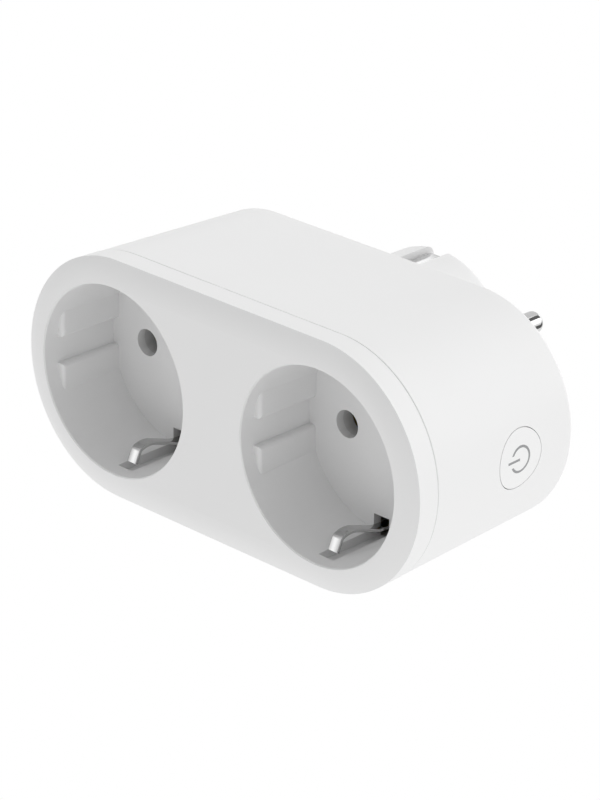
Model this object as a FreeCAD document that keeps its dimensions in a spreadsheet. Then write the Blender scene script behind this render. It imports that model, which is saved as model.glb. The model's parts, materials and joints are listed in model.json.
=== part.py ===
"""Smart plug: a wall adaptor with two earthed sockets, a relay and one push button.

Row frame: origin where the plug's axis meets the wall, +Y into the wall, -Y out of the
sockets, +X towards the push button, +Z up.  Millimetres throughout.
"""
import FreeCAD, Part
import math
import operator
import os
import types

import Sketcher

DRIVING_SIZES = (
    ("socket_spacing", 55.4, "between the two socket axes"),
    ("body_depth", 46.0, "front face to the wall"),
    ("rim", 3.36, "recess wall to the inside of the casing"),
    ("edge_setback", 1.33, "front edge behind the front face"),
    ("pillow_start", 0.14, "rounded border of the front face, from inside the recess wall"),
    ("band_depth", 6.5, "front face to the parting line"),
    ("band_draft", 0.16, "taper of the cover down to the parting line"),
    ("parting_step", 0.08, "cover edge over the rear shell"),
    ("shell_draft", 1.42, "taper of the rear shell down to the wall"),
    ("rear_round", 1.0, "rounding of the rear edge"),
    ("parting_bevel", 0.2, "bevel on both edges of the parting line"),
    ("casing_wall", 2.0, "wall of both shells"),
    ("face_wall", 2.4, "thickness of the front face"),
    ("tongue_wall", 0.9, "tongue of the cover inside the rear shell"),
    ("tongue_length", 1.6, "reach of that tongue"),
    ("seat_gap", 0.05, "clearance of parts that locate each other"),
    ("recess_radius", 19.8, "socket recess"),
    ("recess_depth", 18.5, "front face to the recess floor"),
    ("recess_draft", 0.2, "taper of the recess radius"),
    ("mouth_round", 0.2, "rounding of the recess mouth"),
    ("well_wall", 1.4, "side wall of a socket well"),
    ("floor_wall", 2.0, "floor of a socket well"),
    ("pin_spacing", 19.0, "between the two pins of a plug"),
    ("pin_radius", 2.4, "plug pin"),
    ("pin_root_radius", 2.7, "plug pin inside the end wall of the plug body"),
    ("pin_length", 19.0, "plug pin outside the plug"),
    ("pin_hole_radius", 2.85, "pin hole in the recess floor"),
    ("sleeve_length", 2.5, "pin sleeve behind the socket floor"),
    ("sleeve_wall", 0.8, "pin sleeve"),
    ("strap_gap", 2.6, "socket floor to the earth straps"),
    ("guide_depth", 2.0, "recess wall to the flat of a guide block"),
    ("guide_gap_half", 2.9, "half of the groove between guide blocks"),
    ("guide_start", 3.3, "front face to the guide blocks and clip slots"),
    ("guide_round", 0.8, "rounding of the guide blocks"),
    ("slot_half", 2.0, "half width of an earth clip slot"),
    ("slot_inset", 3.6, "recess wall in to the clip opening of the floor"),
    ("slot_depth", 1.6, "recess wall out to the back of a clip slot"),
    ("slot_ramp", 1.5, "ramp at the front end of a clip slot"),
    ("slot_backing", 0.65, "wall behind a clip slot"),
    ("slot_cheek", 0.8, "wall beside a clip slot"),
    ("plug_clearance", 1.3, "plug body inside the recess it is made for"),
    ("boss_length", 19.0, "plug body"),
    ("boss_round", 2.0, "front edge of the plug body"),
    ("boss_cavity", 14.0, "cavity of the plug body"),
    ("boss_end_wall", 2.5, "end wall of the plug body"),
    ("boss_flat_depth", 1.3, "depth of the side flats on the plug body"),
    ("boss_rib_half", 2.4, "half width of the rib between side flats"),
    ("channel_half", 2.6, "half width of the earth channel on the plug body"),
    ("earth_contact_inset", 1.4, "earth contact below the plug body's surface"),
    ("strip_thick", 0.8, "thick contact strip and busbar"),
    ("strip_half", 2.0, "half width of the earth strips"),
    ("pin_collar_radius", 3.4, "collar of a plug pin"),
    ("pin_collar_length", 2.0, "collar of a plug pin"),
    ("pin_tail_radius", 1.2, "tail of a plug pin"),
    ("carrier_length", 4.0, "clamp plate behind the pin collars"),
    ("clip_half", 1.25, "half width of an earth clip"),
    ("clip_thick", 0.7, "earth clip sheet"),
    ("clip_root_inset", 1.2, "recess wall to the bend line of an earth clip"),
    ("clip_peak_inset", 4.2, "recess wall to the crest of an earth clip"),
    ("clip_peak_depth", 9.4, "front face to the crest"),
    ("clip_crest_round", 6.0, "rounding of the crest"),
    ("clip_nose_round", 1.3, "rounding of the nose"),
    ("clip_nose_inset", 3.8, "recess wall to the nose bend"),
    ("clip_nose_depth", 6.6, "front face to the nose bend"),
    ("clip_tip_inset", 0.8, "recess wall to the clip's tip"),
    ("clip_tip_depth", 5.0, "front face to the clip's tip"),
    ("leaf_thick", 0.6, "sheet of a pin contact clip"),
    ("leaf_half_width", 3.5, "half width of a pin contact clip"),
    ("leaf_pinch", 2.5, "pin axis to a contact leaf at its throat"),
    ("leaf_base", 2.8, "pin axis to a contact leaf at its base"),
    ("leaf_mouth", 3.7, "pin axis to a contact leaf at its mouth"),
    ("board_back", 3.0, "wall to the back of the main board"),
    ("board_thick", 1.6, "main board"),
    ("board_beyond", 0.7, "main board past the front of the button board"),
    ("board_corner", 3.0, "cut corners of the main board"),
    ("board_half_height", 13.8, "half height of the main board"),
    ("bar_front", 7.6, "wall to the front of the busbars"),
    ("bar_low", 10.0, "plug axis to the near edge of a busbar"),
    ("bar_high", 13.4, "plug axis to the far edge of a busbar"),
    ("rail_low", 10.6, "plug axis to the near edge of an earth rail"),
    ("rail_high", 13.8, "plug axis to the far edge of an earth rail"),
    ("screw_x", 14.5, "case screws, from the plug axis along X"),
    ("screw_inset", 7.4, "case screws, in from the side of the cover"),
    ("screw_radius", 1.25, "case screw shank"),
    ("screw_bite", 5.0, "case screw inside the front post"),
    ("head_radius", 2.4, "case screw head"),
    ("head_height", 1.9, "case screw head"),
    ("head_depth", 9.0, "wall plane to the seat of a screw head"),
    ("post_gap", 3.0, "back of the socket floors to the end of the front posts"),
    ("pilot_depth", 6.0, "screw pilot hole of the front posts"),
    ("front_post_radius", 2.6, "screw post of the front cover"),
    ("rear_post_radius", 3.4, "screw post of the rear shell"),
    ("peg_x", 11.2, "board pegs, from the plug axis along X"),
    ("peg_z", 11.6, "board pegs, from the plug axis along Z"),
    ("peg_radius", 1.0, "board peg"),
    ("peg_seat_radius", 2.0, "step that carries the main board"),
    ("button_depth", 15.7, "wall to the axis of the push button"),
    ("button_hole_radius", 6.2, "hole for the push button"),
    ("button_gap", 0.14, "gap round the push button"),
    ("button_flange", 0.8, "retaining flange of the push button"),
    ("button_lip", 0.7, "flange beyond the hole"),
    ("nub_radius", 1.4, "nub that presses the switch"),
    ("nub_height", 0.4, "nub that presses the switch"),
    ("button_travel", 0.4, "travel of the push button"),
    ("symbol_radius", 2.55, "middle of the power symbol's ring"),
    ("symbol_stroke", 0.5, "line width of the power symbol"),
    ("symbol_gap_half", 1.2, "half of the opening in the ring"),
    ("symbol_bar_above", 1.05, "bar of the symbol beyond the ring"),
    ("symbol_bar_below", 0.2, "bar of the symbol short of the centre"),
    ("symbol_depth", 0.4, "depth of the symbol inlay"),
    ("switch_height", 3.5, "body of the tact switch"),
    ("plunger_length", 0.9, "plunger of the tact switch"),
    ("switch_half", 3.0, "half width of the tact switch"),
    ("plunger_radius", 1.7, "plunger of the tact switch"),
    ("side_board_thick", 1.0, "button board"),
    ("side_board_half", 7.0, "half height of the button board"),
    ("side_board_above", 6.6, "button axis to the front edge of its board"),
    ("led_shift", 5.0, "button axis to the indicator light"),
    ("led_half", 0.8, "half width of the indicator light"),
    ("led_half_high", 1.6, "half height of the indicator light"),
    ("led_base", 0.6, "base of the indicator light"),
    ("led_lens", 0.5, "lens of the indicator light"),
    ("led_lens_inset", 0.2, "lens in from the edge of its base"),
    ("header_tall", 1.9, "pin strip above the main board"),
    ("header_thick", 2.5, "pin strip"),
    ("header_half", 6.3, "half length of the pin strip"),
    ("bar_leg", 1.8, "leg of a busbar through the main board"),
    ("leg_far", 24.0, "far leg of a busbar, from the plug axis"),
    ("leg_near", 5.0, "near leg of a busbar, from the plug axis"),
    ("hole_margin", 0.1, "board holes round the parts that pass them"),
    ("relay_clear", 0.4, "relay base to the tails of the plug pins"),
    ("relay_rim", 0.2, "relay base round its case"),
    ("relay_wide", 19.0, "relay case along Z"),
    ("relay_tall", 15.5, "relay case"),
    ("relay_base_tall", 1.4, "relay base"),
    ("capacitor_radius", 4.0, "can of a supply capacitor"),
    ("capacitor_tall", 12.0, "can of a supply capacitor"),
    ("capacitor_pitch", 9.2, "between the two supply capacitors"),
    ("capacitor_drop", 9.3, "plug axis down to the supply capacitors"),
    ("inductor_radius", 3.5, "flanges of the filter inductor"),
    ("inductor_waist", 2.9, "winding of the filter inductor"),
    ("inductor_tall", 9.0, "filter inductor"),
    ("inductor_rise", 4.8, "plug axis up to the filter inductor"),
    ("varistor_radius", 4.6, "surge varistor disc"),
    ("varistor_thick", 3.8, "surge varistor disc"),
    ("varistor_lift", 1.0, "main board to the edge of the varistor disc"),
    ("fuse_radius", 1.8, "fuse resistor"),
    ("fuse_length", 7.8, "fuse resistor"),
    ("fuse_lift", 0.2, "main board to the fuse resistor"),
    ("fuse_drop", 2.4, "plug axis down to the fuse resistor"),
    ("shunt_near", 4.2, "plug axis to the near leg of the current shunt"),
    ("shunt_span", 5.2, "current shunt over its legs"),
    ("shunt_tall", 3.4, "current shunt above the main board"),
    ("shunt_strip", 0.8, "legs of the current shunt"),
    ("shunt_shift", 12.0, "plug axis to the current shunt along X"),
    ("shunt_width", 2.0, "strip of the current shunt"),
)
# boxes on the main board: length along X, width along Z, height, gap under the box
BLOCK_SIZES = (
    ("bridge_rectifier", 6.0, 4.8, 2.4, 0.0),
    ("metering_chip", 4.0, 5.0, 1.6, 0.0),
    ("wifi_board", 16.4, 0.8, 15.5, 0.0),
    ("wifi_shield_can", 14.4, 2.1, 8.6, 6.2),
)


class Size:
    """A length together with the sheet expression that gives it."""

    def __init__(self, value, words):
        self.value = value
        self.words = words

    def __add__(self, other):
        return mixed(self, "+", other)

    def __radd__(self, other):
        return mixed(other, "+", self)

    def __sub__(self, other):
        return mixed(self, "-", other)

    def __rsub__(self, other):
        return mixed(other, "-", self)

    def __mul__(self, other):
        return mixed(self, "*", other)

    def __rmul__(self, other):
        return mixed(other, "*", self)

    def __truediv__(self, other):
        return mixed(self, "/", other)

    def __neg__(self):
        return mixed(0, "-", self)


SIGNS = {"+": operator.add, "-": operator.sub, "*": operator.mul, "/": operator.truediv}


def number(item):
    return item.value if isinstance(item, Size) else float(item)


def words(item):
    return item.words if isinstance(item, Size) else "%.6f" % item


def mixed(left, sign, right):
    value = SIGNS[sign](number(left), number(right))
    return Size(value, "(%s %s %s)" % (words(left), sign, words(right)))


def root(item):
    return Size(math.sqrt(number(item)), "sqrt(%s)" % words(item))


doc = FreeCAD.newDocument("smart_plug")
sheet = doc.addObject("Spreadsheet::Sheet", "Sizes")
size = types.SimpleNamespace()
block_rows = [("%s_%s" % (name, kind), value, kind + " of " + name)
              for name, *values in BLOCK_SIZES
              for kind, value in zip(("long", "wide", "tall", "lift"), values)]
for row, (alias, value, note) in enumerate(list(DRIVING_SIZES) + block_rows, start=1):
    sheet.set("A%d" % row, str(value))
    sheet.setAlias("A%d" % row, alias)
    sheet.set("B%d" % row, note)
    setattr(size, alias, Size(value, "Sizes." + alias))
doc.recompute()


# ---------------------------------------------------------------- levels along Y
FACE = -size.body_depth
PARTING = FACE + size.band_depth
FLOOR = FACE + size.recess_depth
FLOOR_BACK = FLOOR + size.floor_wall
GUIDE_FRONT = FACE + size.guide_start
SOCKET_X = size.socket_spacing / 2
PIN_X = size.pin_spacing / 2
EDGE_HALF = size.recess_radius + size.rim + size.casing_wall
PILLOW_HALF = size.recess_radius - size.pillow_start
PILLOW_WIDTH = EDGE_HALF - PILLOW_HALF
BAND_HALF = EDGE_HALF - size.band_draft
SHELL_HALF = BAND_HALF - size.parting_step
REAR_HALF = SHELL_HALF - size.shell_draft
GUIDE_CHORD = size.recess_radius - size.guide_depth
SLOT_LOW = size.recess_radius - size.slot_inset
SLOT_HIGH = size.recess_radius + size.slot_depth
BOSS_RADIUS = size.recess_radius - size.plug_clearance
BOSS_FLAT = BOSS_RADIUS - size.boss_flat_depth
CONTACT_HEIGHT = BOSS_RADIUS - size.earth_contact_inset
CLIP_ROOT = size.recess_radius - size.clip_root_inset
CLIP_PEAK = size.recess_radius - size.clip_peak_inset
CLIP_NOSE = size.recess_radius - size.clip_nose_inset
CLIP_TIP = size.recess_radius - size.clip_tip_inset
SCREW_Z = BAND_HALF - size.screw_inset
BOARD_FRONT = -size.board_back - size.board_thick
BAR_FRONT = -size.bar_front
BAR_BACK = BAR_FRONT + size.strip_thick
STRAP_FRONT = FLOOR_BACK + size.strap_gap
STRAP_BACK = STRAP_FRONT + size.strip_thick
RAIL_BACK = STRAP_BACK + size.strip_thick
POST_END = FLOOR_BACK + size.post_gap
SCREW_TIP = POST_END - size.screw_bite
OVERLAP = 1.0
BEYOND = 3.0
LEFT_RIGHT = (("left", -1), ("right", 1))
BOTTOM_TOP = (("bottom", -1), ("top", 1))


# ---------------------------------------------------------------- drawing helpers
def bind(thing, path, item):
    thing.setExpression(path, words(item))


def vector(x, y, z):
    return FreeCAD.Vector(number(x), number(y), number(z))


def line_or_arc(start, end, bend):
    """Geometry from start to end, and which of its ends is which."""
    first = vector(start[0], start[1], 0)
    last = vector(end[0], end[1], 0)
    if not bend:
        return Part.LineSegment(first, last), 1, 2
    radius, side = number(bend[0]), bend[1]
    along = last - first
    left = FreeCAD.Vector(-along.y, along.x, 0).normalize()
    reach = math.sqrt(max(radius ** 2 - (along.Length / 2) ** 2, 0))
    centre = (first + last) * 0.5 + left * (reach * side)
    circle = Part.Circle(centre, FreeCAD.Vector(0, 0, 1), radius)
    angles = [math.atan2(point.y - centre.y, point.x - centre.x) for point in (first, last)]
    if side < 0:
        angles.reverse()
    if angles[1] < angles[0]:
        angles[1] += 2 * math.pi
    arc = Part.ArcOfCircle(circle, angles[0], angles[1])
    return (arc, 1, 2) if side > 0 else (arc, 2, 1)


def outline(drawing, corners):
    """Closed outline: a corner (u, v) starts a line, (u, v, radius, side) starts an arc."""
    pieces = []
    for index, corner in enumerate(corners):
        following = corners[(index + 1) % len(corners)]
        geometry, start, end = line_or_arc(corner, following, corner[2:])
        pieces.append((drawing.addGeometry(geometry, False), start, end))
    for index, (piece, start, end) in enumerate(pieces):
        following, following_start, following_end = pieces[(index + 1) % len(pieces)]
        drawing.addConstraint(Sketcher.Constraint("Coincident", piece, end, following, following_start))
    for (piece, start, end), corner in zip(pieces, corners):
        for kind, item in zip(("DistanceX", "DistanceY"), corner):
            rule = Sketcher.Constraint(kind, -1, 1, piece, start, number(item))
            bind(drawing, "Constraints[%d]" % drawing.addConstraint(rule), item)
        if corner[2:]:
            rule = Sketcher.Constraint("Radius", piece, number(corner[2]))
            bind(drawing, "Constraints[%d]" % drawing.addConstraint(rule), corner[2])


def circle(drawing, u, v, radius):
    centre = vector(u, v, 0)
    piece = drawing.addGeometry(Part.Circle(centre, FreeCAD.Vector(0, 0, 1), number(radius)), False)
    for kind, item in (("DistanceX", u), ("DistanceY", v)):
        rule = Sketcher.Constraint(kind, -1, 1, piece, 3, number(item))
        bind(drawing, "Constraints[%d]" % drawing.addConstraint(rule), item)
    rule = Sketcher.Constraint("Radius", piece, number(radius))
    bind(drawing, "Constraints[%d]" % drawing.addConstraint(rule), radius)


def rectangle(u_low, v_low, u_high, v_high):
    return [(u_low, v_low), (u_high, v_low), (u_high, v_high), (u_low, v_high)]


def draw(drawing, shapes):
    """Shapes are outlines (lists of corners) and circles (tuples u, v, radius)."""
    for shape in shapes:
        if isinstance(shape, tuple):
            circle(drawing, *shape)
        else:
            outline(drawing, shape)


# ---------------------------------------------------------------- PartDesign bodies
ALONG = {"XY_Plane": 1, "YZ_Plane": 1, "XZ_Plane": -1}


def body(name):
    item = doc.addObject("PartDesign::Body", name)
    item.Label = name
    return item


def sketch(owner, name, plane, shift):
    drawing = owner.newObject("Sketcher::SketchObject", name)
    support = [item for item in owner.Origin.OriginFeatures if item.Role == plane][0]
    drawing.AttachmentSupport = [(support, "")]
    drawing.MapMode = "FlatFace"
    for axis, item in zip("xyz", shift):
        bind(drawing, ".AttachmentOffset.Base." + axis, item)
    return drawing


def pad(owner, name, plane, low, high, shapes):
    """Add shapes drawn on a plane, from level low to level high."""
    drawing = sketch(owner, name + "_sketch", plane, (0, 0, ALONG[plane] * low))
    draw(drawing, shapes)
    feature = owner.newObject("PartDesign::Pad", name)
    feature.Profile = drawing
    feature.Reversed = ALONG[plane] < 0
    bind(feature, "Length", high - low)
    drawing.Visibility = False
    return feature


def pocket(owner, name, plane, low, high, shapes):
    """Cut shapes drawn on a plane, from level low to level high."""
    doc.recompute()
    before = owner.Shape.Volume
    drawing = sketch(owner, name + "_sketch", plane, (0, 0, ALONG[plane] * low))
    draw(drawing, shapes)
    feature = owner.newObject("PartDesign::Pocket", name)
    feature.Profile = drawing
    feature.Reversed = ALONG[plane] > 0
    bind(feature, "Length", high - low)
    doc.recompute()
    if owner.Shape.Volume >= before:
        raise ValueError("%s cuts nothing" % name)
    return feature


def turned(owner, name, corners, x=0, z=0):
    """Turn an outline of (radius, y) corners about an axis along Y."""
    drawing = sketch(owner, name + "_sketch", "XY_Plane", (x, 0, z))
    outline(drawing, corners)
    feature = owner.newObject("PartDesign::Revolution", name)
    feature.Profile = drawing
    feature.ReferenceAxis = (drawing, ["V_Axis"])
    feature.Angle = 360
    return feature


# ---------------------------------------------------------------- Part primitives
def box(name, low, high):
    item = doc.addObject("Part::Box", name)
    for path, start, end in zip(("Length", "Width", "Height"), low, high):
        bind(item, path, end - start)
    for axis, start in zip("xyz", low):
        bind(item, ".Placement.Base." + axis, start)
    return item


def rod(name, radius, axis, start, length):
    """Cylinder along the X or Y axis from its start point."""
    item = doc.addObject("Part::Cylinder", name)
    turn = {"X": (FreeCAD.Vector(0, 1, 0), 90), "Y": (FreeCAD.Vector(-1, 0, 0), 90)}[axis]
    item.Placement.Rotation = FreeCAD.Rotation(*turn)
    bind(item, "Radius", radius)
    bind(item, "Height", length)
    for letter, place in zip("xyz", start):
        bind(item, ".Placement.Base." + letter, place)
    return item


def fused(name, *items):
    item = doc.addObject("Part::MultiFuse", name)
    item.Shapes = list(items)
    item.Refine = True
    item.Label = name
    return item


def cut(name, base, *tools):
    item = doc.addObject("Part::Cut", name)
    item.Base = base
    item.Tool = tools[0] if len(tools) == 1 else fused(name + "_tools", *tools)
    item.Refine = True
    item.Label = name
    return item


def common(name, base, tool):
    item = doc.addObject("Part::MultiCommon", name)
    item.Shapes = [base, tool]
    item.Label = name
    return item


def mirrored(name, source, normal):
    item = doc.addObject("Part::Mirroring", name)
    item.Source = source
    item.Normal = normal
    return item


def profile(name, corners, turn=None):
    drawing = doc.addObject("Sketcher::SketchObject", name)
    if turn:
        drawing.Placement.Rotation = turn
    outline(drawing, corners)
    return drawing


def turned_form(name, corners, x, angle=360):
    """Solid of revolution of (radius, y) corners about the line x along Y."""
    drawing = profile(name + "_profile", [(x + corner[0],) + tuple(corner[1:]) for corner in corners])
    item = doc.addObject("Part::Revolution", name)
    item.Source = drawing
    item.Axis = FreeCAD.Vector(0, 1, 0)
    bind(item, ".Base.x", x)
    item.Angle = angle
    item.Symmetric = angle < 360
    item.Solid = True
    return item


YZ_TURN = FreeCAD.Rotation(FreeCAD.Vector(1, 1, 1), 120)


def obround(name, corners):
    """Obround solid whose half section is given as (half height, y) corners."""
    end = turned_form(name + "_end", corners, SOCKET_X, 180)
    other_end = mirrored(name + "_other_end", end, FreeCAD.Vector(1, 0, 0))
    upper = [(y, half) + ((rest[0], -rest[1]) if rest else ()) for half, y, *rest in corners[1:-1]]
    lower = []
    for index in range(len(corners) - 2, 0, -1):
        half, y = corners[index][:2]
        rest = corners[index - 1][2:] if index > 1 else ()
        lower.append((y, -half) + ((rest[0], -rest[1]) if rest else ()))
    middle = doc.addObject("Part::Extrusion", name + "_middle")
    middle.Base = profile(name + "_section", upper + lower, YZ_TURN)
    middle.DirMode = "Custom"
    middle.Dir = FreeCAD.Vector(1, 0, 0)
    bind(middle, "LengthFwd", size.socket_spacing)
    middle.Symmetric = True
    middle.Solid = True
    return fused(name, end, other_end, middle)


def plain_obround(name, front_half, front, rear_half, rear):
    return obround(name, [(0, front), (front_half, front), (rear_half, rear), (0, rear)])


def slab(name, corners, x_low, x_high):
    """Outline of (y, z) corners extruded along X."""
    item = doc.addObject("Part::Extrusion", name)
    item.Base = profile(name + "_outline", corners, YZ_TURN)
    bind(item.Base, ".Placement.Base.x", x_low)
    item.DirMode = "Custom"
    item.Dir = FreeCAD.Vector(1, 0, 0)
    bind(item, "LengthFwd", x_high - x_low)
    item.Solid = True
    return item


def rounded(name, base, radius, wanted):
    """Fillet the edges of a solid whose midpoints pass a test."""
    doc.recompute()
    item = doc.addObject("Part::Fillet", name)
    item.Base = base
    chosen = []
    for index, edge in enumerate(base.Shape.Edges, start=1):
        middle = edge.valueAt((edge.FirstParameter + edge.LastParameter) / 2)
        if wanted(middle):
            chosen.append((index, number(radius), number(radius)))
    item.Edges = chosen
    return item


# ---------------------------------------------------------------- casing
def draft_half(y, inset=0):
    """Half height of the tapering rear shell at level y."""
    slope = (SHELL_HALF - REAR_HALF) / (-PARTING)
    return REAR_HALF - slope * y - inset


def shell_form(name):
    """Outside of the rear shell: drafted sides and a rounded rear edge."""
    slope = (SHELL_HALF - REAR_HALF) / (-PARTING)
    lean = root(1 + slope * slope)
    reach = size.rear_round * (lean - slope)
    return obround(name, [
        (0, PARTING),
        (SHELL_HALF - size.parting_bevel, PARTING),
        (SHELL_HALF, PARTING + size.parting_bevel),
        (REAR_HALF + reach * slope / lean, -(reach / lean), size.rear_round, 1),
        (REAR_HALF - reach, 0),
        (0, 0),
    ])


def guide_block(name, x_centre, side, low, high):
    """One soft-edged block that stands in from the wall of a recess."""
    wall = size.recess_radius + size.well_wall / 2
    near, far = (GUIDE_CHORD, wall) if side > 0 else (-wall, -GUIDE_CHORD)
    block = box(name + "_box", (x_centre + near, GUIDE_FRONT, low), (x_centre + far, FLOOR + 1, high))
    edge_x = number(x_centre + side * GUIDE_CHORD)
    floor_y = number(FLOOR + 1)
    soft = number(size.guide_round)
    return rounded(name, block, soft, lambda point: abs(point.x - edge_x) < 0.01 and point.y < floor_y - 0.01)


def socket_void(side_name, side):
    """Everything that is cut away to make one socket."""
    x = side * SOCKET_X
    mouth = size.recess_radius + size.mouth_round
    recess = turned_form("recess_%s" % side_name, [
        (0, FACE - 1),
        (mouth, FACE - 1),
        (mouth, FACE, size.mouth_round, 1),
        (size.recess_radius, FACE + size.mouth_round),
        (size.recess_radius - size.recess_draft, FLOOR),
        (0, FLOOR),
    ], x)
    blocks = []
    reach = root(size.recess_radius * size.recess_radius - GUIDE_CHORD * GUIDE_CHORD) + 1.5
    for index, (way, low, high) in enumerate((
            (-1, -reach, -size.guide_gap_half), (-1, size.guide_gap_half, reach),
            (1, -reach, -size.guide_gap_half), (1, size.guide_gap_half, reach))):
        blocks.append(guide_block("guide_%s_%d" % (side_name, index), x, way, low, high))
    open_recess = cut("open_recess_%s" % side_name, recess, *blocks)
    tools = [open_recess]
    for end_name, way in BOTTOM_TOP:
        tools.append(slab("slot_%s_%s" % (side_name, end_name), [
            (GUIDE_FRONT, way * (size.recess_radius - 1)),
            (GUIDE_FRONT, way * (size.recess_radius - 0.15)),
            (GUIDE_FRONT + size.slot_ramp, way * SLOT_HIGH),
            (FLOOR_BACK + 1, way * SLOT_HIGH),
            (FLOOR_BACK + 1, way * SLOT_LOW),
            (FLOOR - 0.5, way * SLOT_LOW),
            (FLOOR - 0.5, way * (size.recess_radius - 1)),
        ], x - size.slot_half, x + size.slot_half))
    for pin_name, way in LEFT_RIGHT:
        tools.append(rod("pin_hole_%s_%s" % (side_name, pin_name), size.pin_hole_radius, "Y",
                         (x + way * PIN_X, FLOOR - OVERLAP, 0),
                         size.floor_wall + size.sleeve_length + 2 * OVERLAP))
    return tools


def front_cover():
    skin = obround("cover_skin", [
        (0, FACE),
        (PILLOW_HALF, FACE,
         (PILLOW_WIDTH * PILLOW_WIDTH + size.edge_setback * size.edge_setback) / (2 * size.edge_setback), 1),
        (EDGE_HALF, FACE + size.edge_setback),
        (BAND_HALF, PARTING - size.parting_bevel),
        (BAND_HALF - size.parting_bevel, PARTING),
        (0, PARTING),
    ])
    tongue_half = BAND_HALF - size.casing_wall + size.tongue_wall
    tongue = plain_obround("cover_tongue", tongue_half, PARTING - 1, tongue_half, PARTING + size.tongue_length)
    solids = [skin, tongue]
    inside_half = BAND_HALF - size.casing_wall
    inside = plain_obround("cover_inside", inside_half, FACE + size.face_wall, inside_half, PARTING + BEYOND)
    hollow = cut("cover_hollow", fused("cover_walls", *solids), inside)
    added = [hollow]
    for side_name, side in LEFT_RIGHT:
        added.append(rod("well_" + side_name, size.recess_radius + size.well_wall, "Y",
                         (side * SOCKET_X, FACE + size.face_wall - 1, 0),
                         size.recess_depth + size.floor_wall - size.face_wall + 1))
        for pin_name, way in LEFT_RIGHT:
            added.append(rod("pin_sleeve_%s_%s" % (side_name, pin_name), size.pin_hole_radius + size.sleeve_wall, "Y",
                             (side * SOCKET_X + way * PIN_X, FLOOR_BACK - OVERLAP, 0),
                             size.sleeve_length + OVERLAP))
    backing_high = SLOT_HIGH + size.slot_backing
    for side_name, side in LEFT_RIGHT:
        for end_name, way in BOTTOM_TOP:
            x = side * SOCKET_X
            near, far = (size.recess_radius, backing_high) if way > 0 else (-backing_high, -size.recess_radius)
            added.append(box("slot_backing_%s_%s" % (side_name, end_name),
                             (x - size.slot_half - size.slot_cheek, FACE + size.face_wall - OVERLAP, near),
                             (x + size.slot_half + size.slot_cheek, FLOOR_BACK, far)))
            added.append(rod("front_post_%s_%s" % (side_name, end_name), size.front_post_radius, "Y",
                             (side * size.screw_x, FACE + size.face_wall - 1, way * SCREW_Z),
                             POST_END - FACE - size.face_wall + 1))
    tools = []
    for side_name, side in LEFT_RIGHT:
        tools.extend(socket_void(side_name, side))
        for end_name, way in BOTTOM_TOP:
            tools.append(rod("pilot_%s_%s" % (side_name, end_name), size.screw_radius - 0.2, "Y",
                             (side * size.screw_x, POST_END - size.pilot_depth, way * SCREW_Z),
                             size.pilot_depth + OVERLAP))
    cut("front_cover", fused("cover_solids", *added), *tools)


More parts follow.
